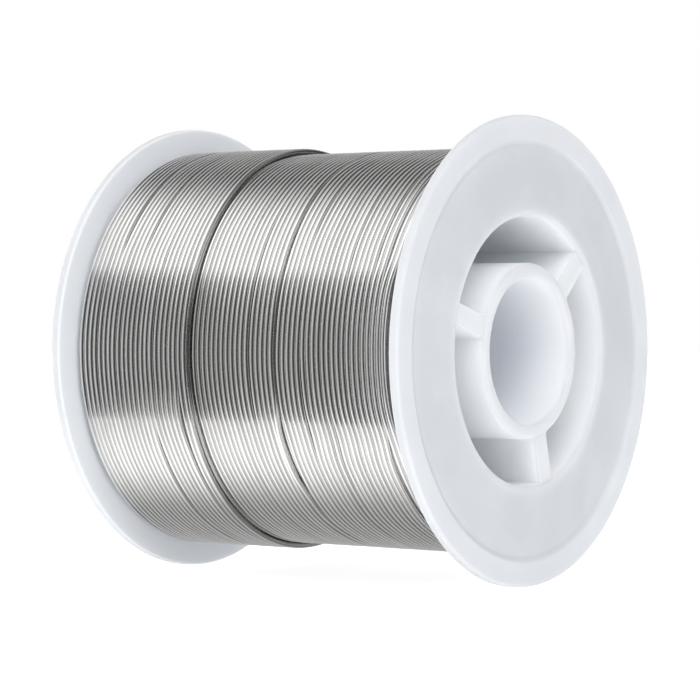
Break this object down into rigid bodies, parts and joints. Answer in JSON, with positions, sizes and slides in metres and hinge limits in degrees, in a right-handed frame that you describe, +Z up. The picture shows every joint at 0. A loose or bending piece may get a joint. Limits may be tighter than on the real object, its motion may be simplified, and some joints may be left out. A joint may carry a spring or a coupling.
{
  "type": "solder wire spool",
  "caption": "White plastic spool, open ribbed hub in each flange, wound full with thin bright solder wire whose free end peels off the top layer.",
  "frame": {"origin": "middle of the spool axis", "axes": "+X along the spool axis towards the near flange, +Z up, free end of the wire on the +Y side"},
  "size_m": [0.0574, 0.063, 0.063],
  "materials": {
    "spool_plastic": "satin",
    "solder": "satin",
    "flux": "gloss"
  },
  "bodies": {
    "spool": {"near_spool_half": "spool_plastic", "far_spool_half": "spool_plastic", "wire_inner_layers": "solder", "wire_top_layer": "solder", "wire_last_layer": "solder", "wire_start_end": "solder", "flux_core_start": "flux"},
    "tail_1": {"wire_tail_1": "solder"},
    "tail_2": {"wire_tail_2": "solder"},
    "tail_3": {"wire_tail_3": "solder"},
    "tail_4": {"wire_tail_4": "solder"},
    "tail_5": {"wire_tail_5": "solder", "flux_core_tip": "flux"}
  },
  "joints": [
    {"name": "wire_peel", "type": "hinge", "parent": "spool", "child": "tail_1", "pos_m": [-0.0081, 0.01388, 0.02405], "axis": [1, 0, 0], "range_deg": [0, 16]},
    {"name": "wire_unbend_2", "type": "hinge", "parent": "tail_1", "child": "tail_2", "pos_m": [-0.00806, 0.01998, 0.01929], "axis": [1, 0, 0], "range_deg": [0, 16]},
    {"name": "wire_unbend_3", "type": "hinge", "parent": "tail_2", "child": "tail_3", "pos_m": [-0.00803, 0.02452, 0.01304], "axis": [1, 0, 0], "range_deg": [0, 16]},
    {"name": "wire_unbend_4", "type": "hinge", "parent": "tail_3", "child": "tail_4", "pos_m": [-0.00799, 0.02716, 0.00577], "axis": [1, 0, 0], "range_deg": [0, 16]},
    {"name": "wire_unbend_5", "type": "hinge", "parent": "tail_4", "child": "tail_5", "pos_m": [-0.00796, 0.0277, -0.00194], "axis": [1, 0, 0], "range_deg": [0, 16]}
  ],
  "couplings": [
    {"joint": "wire_unbend_2", "follows": "wire_peel", "ratio": 1},
    {"joint": "wire_unbend_3", "follows": "wire_peel", "ratio": 1},
    {"joint": "wire_unbend_4", "follows": "wire_peel", "ratio": 1},
    {"joint": "wire_unbend_5", "follows": "wire_peel", "ratio": 1}
  ]
}
